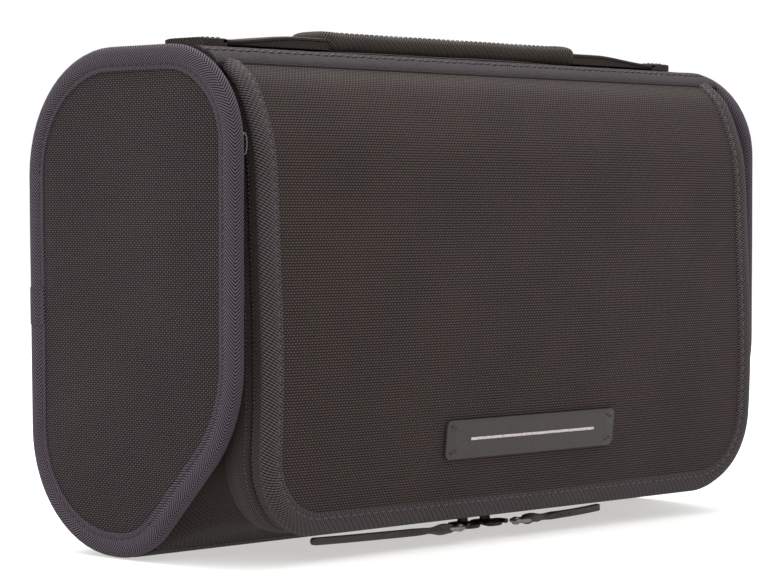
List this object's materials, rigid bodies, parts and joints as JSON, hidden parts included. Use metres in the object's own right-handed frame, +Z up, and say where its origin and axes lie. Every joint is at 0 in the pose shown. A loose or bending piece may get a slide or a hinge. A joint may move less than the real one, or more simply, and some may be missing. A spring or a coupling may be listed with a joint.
{
  "type": "hanging toiletry bag",
  "caption": "Soft toiletry bag with bound pick-shaped ends, a top-hinged front door zipped round three sides, a low carry handle and a folding hook inside the door.",
  "frame": {"origin": "on the floor under the middle of the bag's bounding box", "axes": "+X across the bag from its left end to its right end as seen from the front, +Z up, the door faces -Y"},
  "size_m": [0.292, 0.1148, 0.1859],
  "materials": {
    "ballistic": "ballistic nylon, satin weave",
    "binding": "herringbone tape",
    "webbing": "woven webbing",
    "zip_tape": "woven zip tape",
    "coil": "nylon coil",
    "leather": "smooth leather, satin",
    "inlay": "satin",
    "metal": "dark nickel",
    "lining": "plain lining",
    "mesh": "pocket mesh",
    "board": "plain sheet",
    "plastic": "moulded acetal"
  },
  "bodies": {
    "pod": {"end_binding_left": "binding", "end_binding_right": "binding", "end_panel_left": "ballistic", "end_panel_right": "ballistic", "top_panel": "ballistic", "back_panel": "ballistic", "base_panel": "ballistic", "pod_gusset": "ballistic", "lining": "lining", "back_board": "board", "base_board": "board", "hinge_strip": "binding", "pod_zip_coil": "coil", "pod_zip_tape": "zip_tape", "strap_end_left": "webbing", "strap_end_right": "webbing", "back_pocket": "mesh", "back_pocket_elastic": "webbing"},
    "door": {"door_front_panel": "ballistic", "door_binding": "binding", "door_lining": "lining", "door_zip_tape": "zip_tape", "door_zip_coil": "coil", "badge_patch": "leather", "badge_line": "inlay", "door_pocket": "mesh", "door_pocket_binding": "binding", "door_pocket_zip": "zip_tape", "hook_tab": "webbing"},
    "handle": {"handle_grip": "webbing", "handle_strap_left": "webbing", "handle_strap_right": "webbing"},
    "left_slider": {"zip_slider_left": "metal"},
    "right_slider": {"zip_slider_right": "metal"},
    "left_pull": {"bail_left": "metal", "pull_left": "leather"},
    "right_pull": {"bail_right": "metal", "pull_right": "leather"},
    "pocket_slider": {"door_pocket_slider": "metal"},
    "hook_foot": {"hook_base": "plastic"},
    "hook_arm": {"hook": "plastic"}
  },
  "joints": [
    {"name": "door_open", "type": "hinge", "parent": "pod", "child": "door", "pos_m": [0, -0.03459, 0.1722], "axis": [-1, 0, 0], "range_deg": [0, 165]},
    {"name": "handle_lift", "type": "slide", "parent": "pod", "child": "handle", "axis": [0, 0, 1], "range_m": [0, 0.012]},
    {"name": "left_zip_slide", "type": "slide", "parent": "pod", "child": "left_slider", "axis": [-1, 0, 0], "range_m": [0, 0.08]},
    {"name": "right_zip_slide", "type": "slide", "parent": "pod", "child": "right_slider", "axis": [1, 0, 0], "range_m": [0, 0.08]},
    {"name": "left_pull_swing", "type": "hinge", "parent": "left_slider", "child": "left_pull", "pos_m": [-0.0302, -0.04739, 0.0056], "axis": [0, 0, 1], "range_deg": [0, 85]},
    {"name": "right_pull_swing", "type": "hinge", "parent": "right_slider", "child": "right_pull", "pos_m": [0.0012, -0.04739, 0.0056], "axis": [0, 0, -1], "range_deg": [0, 85]},
    {"name": "pocket_zip_slide", "type": "slide", "parent": "door", "child": "pocket_slider", "axis": [1, 0, 0], "range_m": [0, 0.2]},
    {"name": "hook_fold", "type": "hinge", "parent": "door", "child": "hook_foot", "pos_m": [0, -0.03739, 0.024], "axis": [-1, 0, 0], "range_deg": [0, 180]},
    {"name": "hook_swivel", "type": "hinge", "parent": "hook_foot", "child": "hook_arm", "pos_m": [0, -0.03739, 0.029], "axis": [0, 0, 1], "range_deg": [0, 90]}
  ],
  "couplings": [
    {"joint": "hook_fold", "follows": "door_open", "ratio": 1.09},
    {"joint": "hook_swivel", "follows": "door_open", "ratio": 0.545}
  ]
}
